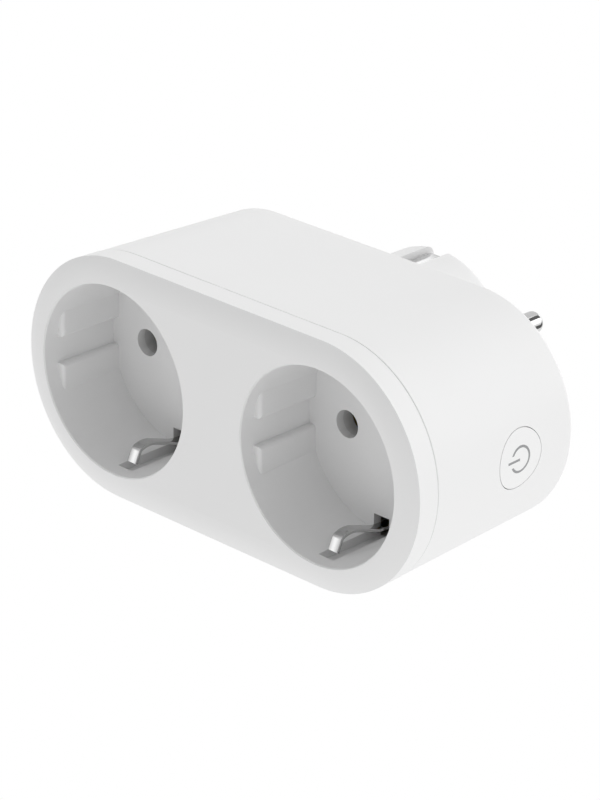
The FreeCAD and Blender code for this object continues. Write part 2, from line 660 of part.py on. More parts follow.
def rear_shell():
    outside = shell_form("shell_outside")
    inside = plain_obround("shell_inside", draft_half(PARTING, size.casing_wall), PARTING - 1,
                           draft_half(0, size.casing_wall), -size.casing_wall)
    rebate_half = BAND_HALF - size.casing_wall + size.tongue_wall + size.seat_gap
    rebate = plain_obround("shell_rebate", rebate_half, PARTING - 1, rebate_half,
                           PARTING + size.tongue_length + 0.2)
    shell = cut("shell_walls", outside, inside, rebate)
    boss = turned_form("boss", [
        (0, -size.casing_wall),
        (BOSS_RADIUS, -size.casing_wall),
        (BOSS_RADIUS, size.boss_length - size.boss_round, size.boss_round, 1),
        (BOSS_RADIUS - size.boss_round, size.boss_length),
        (0, size.boss_length),
    ], 0.0)
    added = [shell, boss]
    tools = [rod("boss_cavity", size.boss_cavity, "Y", (0, -size.casing_wall - 1, 0),
                 size.boss_length - size.boss_end_wall + size.casing_wall + 1)]
    for side_name, side in LEFT_RIGHT:
        tools.append(rod("pin_seat_" + side_name, size.pin_root_radius + size.seat_gap, "Y",
                         (side * PIN_X, size.boss_length - size.boss_end_wall - 1, 0),
                         size.boss_end_wall + 2))
        for end_name, way in BOTTOM_TOP:
            flat_low, flat_high = ((size.boss_rib_half, BOSS_RADIUS) if way > 0
                                   else (-BOSS_RADIUS, -size.boss_rib_half))
            near, far = ((BOSS_FLAT, BOSS_RADIUS + 1) if side > 0
                         else (-BOSS_RADIUS - 1, -BOSS_FLAT))
            tools.append(box("side_flat_%s_%s" % (side_name, end_name),
                             (near, 0.0, flat_low), (far, size.boss_length + 1, flat_high)))
            x, z = side * size.screw_x, way * SCREW_Z
            added.append(rod("rear_post_%s_%s" % (side_name, end_name), size.rear_post_radius, "Y",
                             (x, POST_END + size.seat_gap, z), -POST_END - size.seat_gap - 1))
            tools.append(rod("head_hole_%s_%s" % (side_name, end_name), size.head_radius + 0.2, "Y",
                             (x, -size.head_depth, z), size.head_depth + 1))
            tools.append(rod("shank_hole_%s_%s" % (side_name, end_name), size.screw_radius + 0.15, "Y",
                             (x, POST_END - 1, z), -POST_END))
            added.append(rod("peg_seat_%s_%s" % (side_name, end_name), size.peg_seat_radius, "Y",
                             (side * size.peg_x, -size.board_back, way * size.peg_z),
                             size.board_back - size.casing_wall + OVERLAP / 2))
            added.append(rod("peg_%s_%s" % (side_name, end_name), size.peg_radius, "Y",
                             (side * size.peg_x, BOARD_FRONT - 0.6, way * size.peg_z),
                             size.board_thick + OVERLAP + 0.6))
    contact_inside = CONTACT_HEIGHT - size.strip_thick
    for end_name, way in BOTTOM_TOP:
        near, far = ((contact_inside, BOSS_RADIUS + 1) if way > 0
                     else (-BOSS_RADIUS - 1, -contact_inside))
        tools.append(box("channel_" + end_name, (-size.channel_half, 0.0, near),
                         (size.channel_half, size.boss_length + 1, far)))
        near, far = ((contact_inside, CONTACT_HEIGHT + size.seat_gap) if way > 0
                     else (-CONTACT_HEIGHT - size.seat_gap, -contact_inside))
        tools.append(box("earth_pass_" + end_name,
                         (-size.strip_half - size.seat_gap, -size.casing_wall - 1, near),
                         (size.strip_half + size.seat_gap, 1, far)))
    tools.append(rod("button_hole", size.button_hole_radius, "X",
                     (SOCKET_X + REAR_HALF - 2 * BEYOND, -size.button_depth, 0), 4 * BEYOND))
    cut("rear_shell", fused("shell_solids", *added), *tools)


# ---------------------------------------------------------------- push button
BUTTON_RADIUS = size.button_hole_radius - size.button_gap
BUTTON_INSIDE = SOCKET_X + root(
    draft_half(-size.button_depth, size.casing_wall) * draft_half(-size.button_depth, size.casing_wall)
    - (size.button_hole_radius + 1) * (size.button_hole_radius + 1)) - 0.3
BUTTON_BACK = BUTTON_INSIDE - size.button_flange
SWITCH_FACE = BUTTON_BACK - size.nub_height - size.seat_gap - size.plunger_length
SIDE_BOARD_FRONT = SWITCH_FACE - size.switch_height


def symbol_prism():
    """Ring with an opening towards the front, and a bar through the opening."""
    start = SOCKET_X + REAR_HALF - BEYOND
    reach = 2 * BEYOND
    wide = 2 * size.symbol_radius
    y = -size.button_depth
    ring = cut("symbol_ring",
               rod("symbol_disc", size.symbol_radius + size.symbol_stroke / 2, "X", (start, y, 0), reach),
               rod("symbol_eye", size.symbol_radius - size.symbol_stroke / 2, "X", (start, y, 0), reach),
               box("symbol_opening", (start - OVERLAP, y - wide, -size.symbol_gap_half),
                   (start + reach + OVERLAP, y, size.symbol_gap_half)))
    bar = box("symbol_bar", (start, y - size.symbol_radius - size.symbol_bar_above, -size.symbol_stroke / 2),
              (start + reach, y - size.symbol_bar_below, size.symbol_stroke / 2))
    return fused("symbol_prism", ring, bar)


def push_button():
    skin = shell_form("button_skin")
    stock = rod("button_stock", BUTTON_RADIUS, "X", (BUTTON_BACK, -size.button_depth, 0),
                REAR_HALF + SOCKET_X + BEYOND - BUTTON_BACK)
    cap = common("button_cap_form", skin, stock)
    flange = rod("button_flange_disc", size.button_hole_radius + size.button_lip, "X",
                 (BUTTON_BACK, -size.button_depth, 0), size.button_flange)
    nub = rod("button_nub", size.nub_radius, "X",
              (BUTTON_BACK - size.nub_height, -size.button_depth, 0), size.nub_height + size.button_flange / 2)
    prism = symbol_prism()
    inner_skin = plain_obround("symbol_floor", draft_half(PARTING, size.symbol_depth), PARTING,
                               draft_half(0, size.symbol_depth), 0.0)
    shallow = cut("symbol_layer", prism, inner_skin)
    cut("power_button", fused("button_solids", cap, flange, nub), shallow)
    common("power_symbol", shallow, cap)


# ---------------------------------------------------------------- pins and earth
def plug_pins():
    shoulder = size.boss_length - size.boss_end_wall
    collar_back = shoulder - size.pin_collar_length
    tip = size.boss_length + size.pin_length
    for name, side in (("plug_pin_line", 1), ("plug_pin_neutral", -1)):
        pin = body(name)
        turned(pin, name + "_turning", [
            (0, BOARD_FRONT - 0.8),
            (size.pin_tail_radius, BOARD_FRONT - 0.8),
            (size.pin_tail_radius, collar_back),
            (size.pin_collar_radius, collar_back),
            (size.pin_collar_radius, shoulder),
            (size.pin_root_radius, shoulder),
            (size.pin_root_radius, size.boss_length),
            (size.pin_radius, size.boss_length),
            (size.pin_radius, tip - size.pin_radius * 0.75, size.pin_radius * 0.75, 1),
            (size.pin_radius * 0.25, tip),
            (0, tip),
        ], x=side * PIN_X)


def pin_carrier():
    collar_back = size.boss_length - size.boss_end_wall - size.pin_collar_length
    front = collar_back - size.carrier_length
    plate = body("pin_carrier")
    pad(plate, "carrier_plate", "XZ_Plane", front, collar_back,
        [(0, 0, size.boss_cavity - size.seat_gap)])
    pocket(plate, "carrier_holes", "XZ_Plane", front - 1, collar_back + 1,
           [(way * PIN_X, 0, size.pin_tail_radius + size.seat_gap) for way in (-1, 1)])


def plug_earth_contacts():
    outer = CONTACT_HEIGHT
    inner = outer - size.strip_thick
    front = RAIL_BACK
    for end_name, way in BOTTOM_TOP:
        contact = body("plug_earth_contact_" + end_name)
        corners = [
            (size.boss_length - 1.5, way * outer),
            (size.boss_length - 0.8, way * inner),
            (front + size.strip_thick, way * inner),
            (front + size.strip_thick, way * size.rail_low),
            (front, way * size.rail_low),
            (front, way * outer),
        ]
        pad(contact, "earth_contact_strip_" + end_name, "YZ_Plane", -size.strip_half, size.strip_half, [corners])


def earth_frame():
    strap_end = CLIP_ROOT - size.clip_thick / 2 - 0.15
    for side_name, side in LEFT_RIGHT:
        x = side * SOCKET_X
        strap = body("earth_strap_" + side_name)
        pad(strap, "strap_" + side_name, "XZ_Plane", STRAP_FRONT, STRAP_BACK,
            [rectangle(x - size.strip_half, -strap_end, x + size.strip_half, strap_end)])
    for end_name, way in BOTTOM_TOP:
        rail = body("earth_rail_" + end_name)
        low, high = ((size.rail_low, size.rail_high) if way > 0 else (-size.rail_high, -size.rail_low))
        reach = SOCKET_X + size.strip_half
        pad(rail, "rail_" + end_name, "XZ_Plane", STRAP_BACK, RAIL_BACK, [rectangle(-reach, low, reach, high)])


CLIP_HINGE_Y = STRAP_FRONT + size.clip_thick / 2 + size.seat_gap


def earth_clips():
    """Sprung sheet arms: out of the floor, up to a crest, and down into the wall slot."""
    thick = size.clip_thick
    low = CLIP_ROOT - thick / 2
    crest_y = FACE + size.clip_peak_depth
    nose_y = FACE + size.clip_nose_depth
    tip_y = FACE + size.clip_tip_depth
    knee_y = FLOOR - 1.6
    for side_name, side in LEFT_RIGHT:
        for end_name, way in BOTTOM_TOP:
            arm = body("earth_clip_%s_%s" % (side_name, end_name))
            corners = [
                (CLIP_HINGE_Y, way * low),
                (knee_y, way * (low - 0.3)),
                (crest_y + 2.0, way * (CLIP_PEAK + 0.5), size.clip_crest_round, -way),
                (crest_y - 1.4, way * CLIP_PEAK),
                (nose_y + 0.6, way * (CLIP_NOSE - 0.15), size.clip_nose_round, -way),
                (nose_y - 0.6, way * (CLIP_NOSE + 0.85)),
                (tip_y, way * CLIP_TIP),
                (tip_y + thick, way * (CLIP_TIP + 0.25)),
                (nose_y + thick * 0.8, way * (CLIP_NOSE + thick + 0.35)),
                (nose_y + 1.4, way * (CLIP_NOSE + thick - 0.2)),
                (crest_y - 1.4, way * (CLIP_PEAK + thick)),
                (crest_y + 2.0, way * (CLIP_PEAK + 0.5 + thick)),
                (knee_y - 0.2, way * (low - 0.3 + thick)),
                (CLIP_HINGE_Y, way * (low + thick), thick / 2, -way),
            ]
            x = side * SOCKET_X
            pad(arm, "arm_%s_%s" % (side_name, end_name), "YZ_Plane", x - size.clip_half,
                x + size.clip_half, [corners])


# ---------------------------------------------------------------- live parts
def pole_side(pole):
    """Line contacts lie left of each socket axis, neutral contacts right of it."""
    return -1 if pole == "line" else 1


def contact_clips():
    """Sprung U of sheet metal: one leaf on each side of a pin, flared at the mouth."""
    mouth_y = FLOOR_BACK + size.sleeve_length + 0.3
    throat_y = mouth_y + 4.5
    base_y = BAR_FRONT - 5.4
    thick = size.leaf_thick
    leaf = [
        (size.leaf_base + thick, BAR_FRONT),
        (size.leaf_base + thick, base_y),
        (size.leaf_pinch + thick, throat_y),
        (size.leaf_mouth + thick, mouth_y),
        (size.leaf_mouth, mouth_y),
        (size.leaf_pinch, throat_y),
        (size.leaf_base, base_y),
        (size.leaf_base, BAR_FRONT - thick),
    ]
    for side_name, side in LEFT_RIGHT:
        for pole in ("line", "neutral"):
            x = side * SOCKET_X + pole_side(pole) * PIN_X
            corners = [(x + across, y) for across, y in leaf] + [(x - across, y) for across, y in reversed(leaf)]
            clip = body("contact_clip_%s_%s" % (side_name, pole))
            pad(clip, "leaves_%s_%s" % (side_name, pole), "XY_Plane",
                -size.leaf_half_width, size.leaf_half_width, [corners])


def leg_places(way):
    """Where the legs of a busbar pass the main board, along X."""
    return (-way * size.leg_far, way * size.leg_near)


def busbars():
    for pole, way in (("line", 1), ("neutral", -1)):
        left = -SOCKET_X + pole_side(pole) * PIN_X
        right = SOCKET_X + pole_side(pole) * PIN_X
        wide = size.leaf_base + size.leaf_thick
        foot = size.leaf_half_width
        corners = [
            (left - wide, way * size.bar_high),
            (left - wide, -way * foot),
            (left + wide, -way * foot),
            (left + wide, way * size.bar_low),
            (right - wide, way * size.bar_low),
            (right - wide, -way * foot),
            (right + wide, -way * foot),
            (right + wide, way * size.bar_high),
        ]
        bar = body(pole + "_busbar")
        pad(bar, pole + "_strip", "XZ_Plane", BAR_FRONT, BAR_BACK, [corners])
        half = size.bar_leg / 2
        low, high = ((size.bar_low, size.bar_low + size.strip_thick) if way > 0
                     else (-size.bar_low - size.strip_thick, -size.bar_low))
        pad(bar, pole + "_legs", "XZ_Plane", BAR_BACK, BOARD_FRONT + size.board_thick,
            [rectangle(x - half, low, x + half, high) for x in leg_places(way)])


# ---------------------------------------------------------------- electronics
def main_board():
    back = -size.board_back
    board = body("main_board")
    long, high, corner = SIDE_BOARD_FRONT + size.board_beyond, size.board_half_height, size.board_corner
    pad(board, "board_plate", "XZ_Plane", BOARD_FRONT, back, [[
        (-long, -high + corner), (-long + corner, -high), (long - corner, -high), (long, -high + corner),
        (long, high - corner), (long - corner, high), (-long + corner, high), (-long, high - corner)]])
    margin = size.hole_margin
    holes = [(way * PIN_X, 0, size.pin_tail_radius + margin) for way in (-1, 1)]
    for x_way in (-1, 1):
        for z_way in (-1, 1):
            holes.append((x_way * size.peg_x, z_way * size.peg_z, size.peg_radius + margin))
    half = size.bar_leg / 2 + margin
    for way in (-1, 1):
        low, high_edge = ((size.bar_low - margin, size.bar_low + size.strip_thick + margin) if way > 0
                          else (-size.bar_low - size.strip_thick - margin, -size.bar_low + margin))
        holes.extend(rectangle(x - half, low, x + half, high_edge) for x in leg_places(way))
    pocket(board, "board_holes", "XZ_Plane", BOARD_FRONT - OVERLAP, back + OVERLAP, holes)


def standing_box(owner, name, x, z, long, wide, tall, lift=0):
    pad(owner, name + "_block", "XZ_Plane", BOARD_FRONT - lift - tall, BOARD_FRONT - lift,
        [rectangle(x - long / 2, z - wide / 2, x + long / 2, z + wide / 2)])


def block(name, x, z):
    """A component on the main board, sized by its row of BLOCK_SIZES."""
    sizes = [getattr(size, "%s_%s" % (name, kind)) for kind in ("long", "wide", "tall", "lift")]
    standing_box(body(name), name, x, z, *sizes)


def components():
    relay = body("relay")
    long, rim = 2 * (PIN_X - size.pin_tail_radius - size.relay_clear), 2 * size.relay_rim
    standing_box(relay, "relay_case", 0, 0, long - rim, size.relay_wide, size.relay_tall)
    standing_box(relay, "relay_base", 0, 0, long, size.relay_wide + rim, size.relay_base_tall)
    block("bridge_rectifier", SOCKET_X + 0.2, 4.0)
    block("metering_chip", -11.4, 6.1)
    block("wifi_board", SOCKET_X + 4.1, 12.0)
    block("wifi_shield_can", SOCKET_X + 4.1, 10.55)

    can = body("supply_capacitors")
    can.AllowCompound = True
    radius, bead = size.capacitor_radius, size.capacitor_radius - 0.3
    top = BOARD_FRONT - size.capacitor_tall
    for index in (0, 1):
        turned(can, "capacitor_%d" % index, [
            (0, top), (bead, top), (radius, top + 0.4),
            (radius, BOARD_FRONT - 1.8), (bead, BOARD_FRONT - 1.3), (radius, BOARD_FRONT - 0.9),
            (radius, BOARD_FRONT), (0, BOARD_FRONT)],
            x=-SOCKET_X - 0.3 - index * size.capacitor_pitch, z=-size.capacitor_drop)

    coil = body("filter_inductor")
    flange, waist, top = size.inductor_radius, size.inductor_waist, BOARD_FRONT - size.inductor_tall
    turned(coil, "inductor_bobbin", [
        (0, top), (flange, top), (flange, top + 1), (waist, top + 1.3),
        (waist, BOARD_FRONT - 1.3), (flange, BOARD_FRONT - 1), (flange, BOARD_FRONT), (0, BOARD_FRONT)],
        x=-SOCKET_X, z=size.inductor_rise)

    disc = body("surge_varistor")
    pad(disc, "varistor_disc", "YZ_Plane", SOCKET_X - size.varistor_thick / 2, SOCKET_X + size.varistor_thick / 2,
        [(BOARD_FRONT - size.varistor_lift - size.varistor_radius, -size.varistor_radius, size.varistor_radius)])

    resistor = body("fuse_resistor")
    pad(resistor, "fuse_sleeve", "YZ_Plane", -SOCKET_X - size.fuse_length / 2, -SOCKET_X + size.fuse_length / 2,
        [(BOARD_FRONT - size.fuse_lift - size.fuse_radius, -size.fuse_drop, size.fuse_radius)])

    shunt = body("current_shunt")
    near, far = size.shunt_near, size.shunt_near + size.shunt_span
    top, strip = BOARD_FRONT - size.shunt_tall, size.shunt_strip
    pad(shunt, "shunt_arch", "YZ_Plane", size.shunt_shift - size.shunt_width / 2,
        size.shunt_shift + size.shunt_width / 2, [[
            (BOARD_FRONT, near), (top, near), (top, far), (BOARD_FRONT, far),
            (BOARD_FRONT, far - strip), (top + strip, far - strip),
            (top + strip, near + strip), (BOARD_FRONT, near + strip)]])


def side_board():
    """Upright board behind the push button, with its switch, light and pin strip."""
    switch_face, front = SWITCH_FACE, SIDE_BOARD_FRONT
    back = front - size.side_board_thick
    y = -size.button_depth
    board = body("button_board")
    pad(board, "button_board_plate", "YZ_Plane", back, front,
        [rectangle(y - size.side_board_above, -size.side_board_half, BOARD_FRONT, size.side_board_half)])

    switch = body("tact_switch_body")
    half = size.switch_half
    pad(switch, "switch_housing", "YZ_Plane", front, switch_face, [rectangle(y - half, -half, y + half, half)])
    pocket(switch, "switch_throat", "YZ_Plane", switch_face - 1.2, switch_face + OVERLAP,
           [(y, 0, size.plunger_radius + size.hole_margin)])

    plunger = body("tact_switch_plunger")
    pad(plunger, "plunger_stem", "YZ_Plane", switch_face - 0.6, switch_face + size.plunger_length,
        [(y, 0, size.plunger_radius)])

    light = body("status_led")
    base, inset = size.led_base, size.led_lens_inset
    middle, wide, high = y + size.led_shift, size.led_half, size.led_half_high
    pad(light, "led_foot", "YZ_Plane", front, front + base,
        [rectangle(middle - wide, -high, middle + wide, high)])
    pad(light, "led_dome", "YZ_Plane", front + base, front + base + size.led_lens,
        [rectangle(middle - wide + inset, -high + 2 * inset, middle + wide - inset, high - 2 * inset)])

    strip = body("board_header")
    pad(strip, "header_block", "YZ_Plane", back - size.header_thick, back,
        [rectangle(BOARD_FRONT - size.header_tall, -size.header_half, BOARD_FRONT, size.header_half)])


def case_screws():
    screws = body("case_screws")
    seat = -size.head_depth
    screws.AllowCompound = True
    for side_name, side in LEFT_RIGHT:
        for end_name, way in BOTTOM_TOP:
            turned(screws, "screw_%s_%s" % (side_name, end_name), [
                (0, SCREW_TIP),
                (size.screw_radius - 0.5, SCREW_TIP),
                (size.screw_radius - 0.25, SCREW_TIP + 1.2),
                (size.screw_radius - 0.25, seat),
                (size.head_radius, seat),
                (size.head_radius, seat + size.head_height * 0.6),
                (size.head_radius * 0.75, seat + size.head_height),
                (0, seat + size.head_height),
            ], x=side * size.screw_x, z=way * SCREW_Z)
    for index, (wide, tall) in enumerate(((1.6, 0.3), (0.3, 1.6))):
        slots = []
        for side in (-1, 1):
            for way in (-1, 1):
                x, z = side * size.screw_x, way * SCREW_Z
                slots.append(rectangle(x - wide, z - tall, x + wide, z + tall))
        pocket(screws, "cross_slot_%d" % index, "XZ_Plane", seat + size.head_height - 1.1,
               seat + size.head_height + 1, slots)


NODES = (
    "front_cover", "rear_shell", "power_button", "power_symbol",
    "plug_pin_line", "plug_pin_neutral", "pin_carrier",
    "plug_earth_contact_top", "plug_earth_contact_bottom", "earth_rail_top", "earth_rail_bottom",
    "earth_strap_left", "earth_strap_right",
    "earth_clip_left_top", "earth_clip_left_bottom", "earth_clip_right_top", "earth_clip_right_bottom",
    "contact_clip_left_line", "contact_clip_left_neutral",
    "contact_clip_right_line", "contact_clip_right_neutral",
    "line_busbar", "neutral_busbar", "main_board", "relay", "supply_capacitors", "filter_inductor",
    "surge_varistor", "fuse_resistor", "bridge_rectifier", "metering_chip", "current_shunt",
    "wifi_board", "wifi_shield_can", "button_board", "tact_switch_body", "tact_switch_plunger",
    "status_led", "board_header", "case_screws",
)


def write_parts():
    doc.recompute()
    faulty = [item.Name for item in doc.Objects if "Invalid" in item.State or "Error" in item.State]
    if faulty:
        raise ValueError("these objects failed: " + ", ".join(faulty))
    os.makedirs("parts", exist_ok=True)
    for name in NODES:
        shape = doc.getObjectsByLabel(name)[0].Shape
        if shape.isNull() or not shape.isValid():
            raise ValueError(name + " has no valid shape")
        shape.exportStep("parts/%s.step" % name)
        reach = shape.BoundBox
        print("%-28s %2d solids %9.1f mm3  x %.1f..%.1f  y %.1f..%.1f  z %.1f..%.1f" % (
            name, len(shape.Solids), shape.Volume, reach.XMin, reach.XMax,
            reach.YMin, reach.YMax, reach.ZMin, reach.ZMax))


front_cover()
rear_shell()
push_button()
plug_pins()
pin_carrier()
plug_earth_contacts()
earth_frame()
earth_clips()
contact_clips()
busbars()
main_board()
components()
side_board()
case_screws()
write_parts()
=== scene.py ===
"""Looks of a double smart plug: finishes, fine metal parts, studio and camera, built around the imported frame.

Everything is in metres in the frame's own axes: +Y into the wall, -Y out of the sockets,
+X towards the push button, +Z up.
"""
import json
import math

import bpy
from mathutils import Matrix, Vector


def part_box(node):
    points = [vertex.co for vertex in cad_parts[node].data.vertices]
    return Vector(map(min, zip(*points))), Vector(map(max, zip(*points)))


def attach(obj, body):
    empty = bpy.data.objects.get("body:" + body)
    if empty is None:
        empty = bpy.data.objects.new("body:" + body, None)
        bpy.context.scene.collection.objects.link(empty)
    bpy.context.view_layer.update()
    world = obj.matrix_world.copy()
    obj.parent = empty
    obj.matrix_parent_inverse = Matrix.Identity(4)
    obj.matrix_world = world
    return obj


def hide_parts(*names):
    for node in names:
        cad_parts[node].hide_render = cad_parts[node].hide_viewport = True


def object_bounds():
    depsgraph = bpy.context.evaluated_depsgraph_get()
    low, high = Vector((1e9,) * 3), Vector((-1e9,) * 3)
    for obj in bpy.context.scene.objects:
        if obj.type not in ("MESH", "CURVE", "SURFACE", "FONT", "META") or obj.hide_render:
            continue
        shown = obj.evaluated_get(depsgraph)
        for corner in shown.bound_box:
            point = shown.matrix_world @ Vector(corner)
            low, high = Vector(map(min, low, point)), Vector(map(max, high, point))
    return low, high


bl_info = {
    "name": "Smart plug looks",
    "version": (1, 0, 0),
    "blender": (4, 5, 0),
    "location": "View3D > Sidebar > Smart plug",
    "description": "Finishes, contact springs, screws and studio of a double smart plug",
    "category": "Object",
}

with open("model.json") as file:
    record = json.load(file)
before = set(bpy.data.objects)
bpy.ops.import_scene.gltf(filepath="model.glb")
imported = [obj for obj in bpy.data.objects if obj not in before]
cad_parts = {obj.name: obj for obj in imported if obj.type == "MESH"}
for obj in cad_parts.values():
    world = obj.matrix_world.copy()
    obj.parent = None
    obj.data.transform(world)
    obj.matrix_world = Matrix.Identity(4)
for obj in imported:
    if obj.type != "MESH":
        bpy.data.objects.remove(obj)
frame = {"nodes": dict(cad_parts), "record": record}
CAD_LOW, CAD_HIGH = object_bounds()
MM = 0.001


# ---------------------------------------------------------------- settings
class CasingSettings(bpy.types.PropertyGroup):
    """Colours of the moulded plastic."""
    shell_white: bpy.props.StringProperty(
        name="Shell white", description="sRGB hex of the moulded casing", default="#EBEBEB")
    button_white: bpy.props.StringProperty(
        name="Button white", description="sRGB hex of the push button", default="#EDEDED")
    symbol_grey: bpy.props.StringProperty(
        name="Symbol grey", description="sRGB hex of the power symbol inlay", default="#929394")
    shell_roughness: bpy.props.FloatProperty(
        name="Shell roughness", description="Gloss of the moulded casing", default=0.42, min=0.0, max=1.0)
    grain: bpy.props.FloatProperty(
        name="Grain", description="Spacing of the spark-eroded mould grain",
        default=0.18 * MM, subtype="DISTANCE", unit="LENGTH")
    # the next three settings paint shade: a grey in the pin sleeves behind the socket floors, for the shade deep in
    # the pin holes
    sleeve_shade_grey: bpy.props.StringProperty(
        name="Sleeve painted shade", description="sRGB hex of the painted shade of the pin sleeves", default="#D4D4D4")
    sleeve_radius: bpy.props.FloatProperty(
        name="Sleeve radius", description="Painted shade, from the axis of a pin",
        default=3.7 * MM, subtype="DISTANCE", unit="LENGTH")
    sleeve_start: bpy.props.FloatProperty(
        name="Sleeve start", description="Where the painted shade starts along the plug's axis",
        default=-25.6 * MM, subtype="DISTANCE", unit="LENGTH")
    socket_offset: bpy.props.FloatProperty(
        name="Socket offset", description="Middle of the plug to the axis of a socket",
        default=27.7 * MM, subtype="DISTANCE", unit="LENGTH")
    pin_offset: bpy.props.FloatProperty(
        name="Pin offset", description="Axis of a socket to the axis of a pin",
        default=9.5 * MM, subtype="DISTANCE", unit="LENGTH")


class MetalSettings(bpy.types.PropertyGroup):
    """Colours of the plated and bare metal."""
    nickel: bpy.props.StringProperty(
        name="Nickel", description="sRGB hex of nickel plate", default="#D8D8D8")
    spring: bpy.props.StringProperty(
        name="Spring", description="sRGB hex of nickel-plated spring steel", default="#BEBEBE")
    brass: bpy.props.StringProperty(
        name="Brass", description="sRGB hex of rolled brass", default="#D9B45B")
    nickel_roughness: bpy.props.FloatProperty(
        name="Nickel roughness", description="Gloss of the nickel plate", default=0.16, min=0.0, max=1.0)


class SpringSettings(bpy.types.PropertyGroup):
    """Sizes of the bent sheet of an earth clip, measured from the ends of its CAD node."""
    sheet: bpy.props.FloatProperty(
        name="Sheet", description="Thickness of the spring sheet",
        default=0.7 * MM, subtype="DISTANCE", unit="LENGTH")
    edge: bpy.props.FloatProperty(
        name="Edge", description="Rounding that tumbling leaves on the stamped edges",
        default=0.16 * MM, subtype="DISTANCE", unit="LENGTH")
    nose_back: bpy.props.FloatProperty(
        name="Nose back", description="Front of the clip to its nose bend",
        default=1.58 * MM, subtype="DISTANCE", unit="LENGTH")
    nose_rise: bpy.props.FloatProperty(
        name="Nose rise", description="Crest to the nose bend, away from the socket axis",
        default=0.96 * MM, subtype="DISTANCE", unit="LENGTH")
    nose_bend: bpy.props.FloatProperty(
        name="Nose bend", description="Bend radius of the nose", default=1.0 * MM, subtype="DISTANCE", unit="LENGTH")
    crest_back: bpy.props.FloatProperty(
        name="Crest back", description="Front of the clip to its crest",
        default=4.0 * MM, subtype="DISTANCE", unit="LENGTH")
    crest_bend: bpy.props.FloatProperty(
        name="Crest bend", description="Bend radius of the crest",
        default=5.6 * MM, subtype="DISTANCE", unit="LENGTH")
    knee_back: bpy.props.FloatProperty(
        name="Knee back", description="Front of the clip to the bend in front of the floor",
        default=11.9 * MM, subtype="DISTANCE", unit="LENGTH")
    knee_drop: bpy.props.FloatProperty(
        name="Knee drop", description="Tip of the clip to that bend, towards the socket axis",
        default=0.95 * MM, subtype="DISTANCE", unit="LENGTH")
    knee_bend: bpy.props.FloatProperty(
        name="Knee bend", description="Bend radius in front of the floor",
        default=6.0 * MM, subtype="DISTANCE", unit="LENGTH")
    root_drop: bpy.props.FloatProperty(
        name="Root drop", description="Tip of the clip to its root, towards the socket axis",
        default=0.65 * MM, subtype="DISTANCE", unit="LENGTH")
    crest_rise: bpy.props.FloatProperty(
        name="Crest rise", description="Inner side of the clip to the corner of its crest",
        default=0.11 * MM, subtype="DISTANCE", unit="LENGTH")
    tip_drop: bpy.props.FloatProperty(
        name="Tip drop", description="Outer side of the clip to the middle of its tip",
        default=0.12 * MM, subtype="DISTANCE", unit="LENGTH")


class ScrewSettings(bpy.types.PropertyGroup):
    """Sizes of the four thread-forming case screws."""
    head_radius: bpy.props.FloatProperty(
        name="Head radius", description="Pan head", default=2.4 * MM, subtype="DISTANCE", unit="LENGTH")
    head_height: bpy.props.FloatProperty(
        name="Head height", description="Pan head over its seat", default=1.9 * MM, subtype="DISTANCE", unit="LENGTH")
    head_edge: bpy.props.FloatProperty(
        name="Head edge", description="Rounding of the pan head", default=0.9 * MM, subtype="DISTANCE", unit="LENGTH")
    thread_radius: bpy.props.FloatProperty(
        name="Thread radius", description="Outside of the thread",
        default=1.0 * MM, subtype="DISTANCE", unit="LENGTH")
    pitch: bpy.props.FloatProperty(
        name="Pitch", description="Thread pitch", default=0.9 * MM, subtype="DISTANCE", unit="LENGTH")
    recess_wide: bpy.props.FloatProperty(
        name="Recess wide", description="Wing of the cross recess",
        default=0.55 * MM, subtype="DISTANCE", unit="LENGTH")
    recess_long: bpy.props.FloatProperty(
        name="Recess long", description="Span of the cross recess",
        default=2.3 * MM, subtype="DISTANCE", unit="LENGTH")
    recess_deep: bpy.props.FloatProperty(
        name="Recess deep", description="Depth of the cross recess",
        default=1.1 * MM, subtype="DISTANCE", unit="LENGTH")


class StudioSettings(bpy.types.PropertyGroup):
    """Camera and light."""
    azimuth: bpy.props.FloatProperty(
        name="Azimuth", description="Camera turn about the vertical from square to the sockets",
        default=math.radians(44.04), subtype="ANGLE", unit="ROTATION")
    elevation: bpy.props.FloatProperty(
        name="Elevation", description="Camera height angle",
        default=math.radians(23.80), subtype="ANGLE", unit="ROTATION")
    roll: bpy.props.FloatProperty(
        name="Roll", description="Camera roll", default=math.radians(0.84), subtype="ANGLE", unit="ROTATION")
    distance: bpy.props.FloatProperty(
        name="Distance", description="Camera to the front face", default=678.8 * MM,
        subtype="DISTANCE", unit="LENGTH")
    shift_right: bpy.props.FloatProperty(
        name="Aim right", description="Camera moved sideways", default=16.95 * MM,
        subtype="DISTANCE", unit="LENGTH")
    shift_up: bpy.props.FloatProperty(
        name="Aim up", description="Camera moved upwards", default=4.48 * MM,
        subtype="DISTANCE", unit="LENGTH")
    lens: bpy.props.FloatProperty(
        name="Lens", description="Focal length in millimetres on a 36 mm sensor", default=160.37, min=10.0)
    light: bpy.props.FloatProperty(
        name="Light", description="Strength of all the softboxes", default=1.0, min=0.0)
    fill: bpy.props.FloatProperty(
        name="Fill", description="Even light from all round", default=0.15, min=0.0)


SETTINGS = {
    "smart_plug_casing": CasingSettings,
    "smart_plug_metal": MetalSettings,
    "smart_plug_spring": SpringSettings,
    "smart_plug_screw": ScrewSettings,
    "smart_plug_studio": StudioSettings,
}


# ---------------------------------------------------------------- materials
def linear(code):
    """sRGB hex to linear RGBA."""
    channels = [int(code[index:index + 2], 16) / 255 for index in (1, 3, 5)]
    return [c / 12.92 if c <= 0.04045 else ((c + 0.055) / 1.055) ** 2.4 for c in channels] + [1.0]


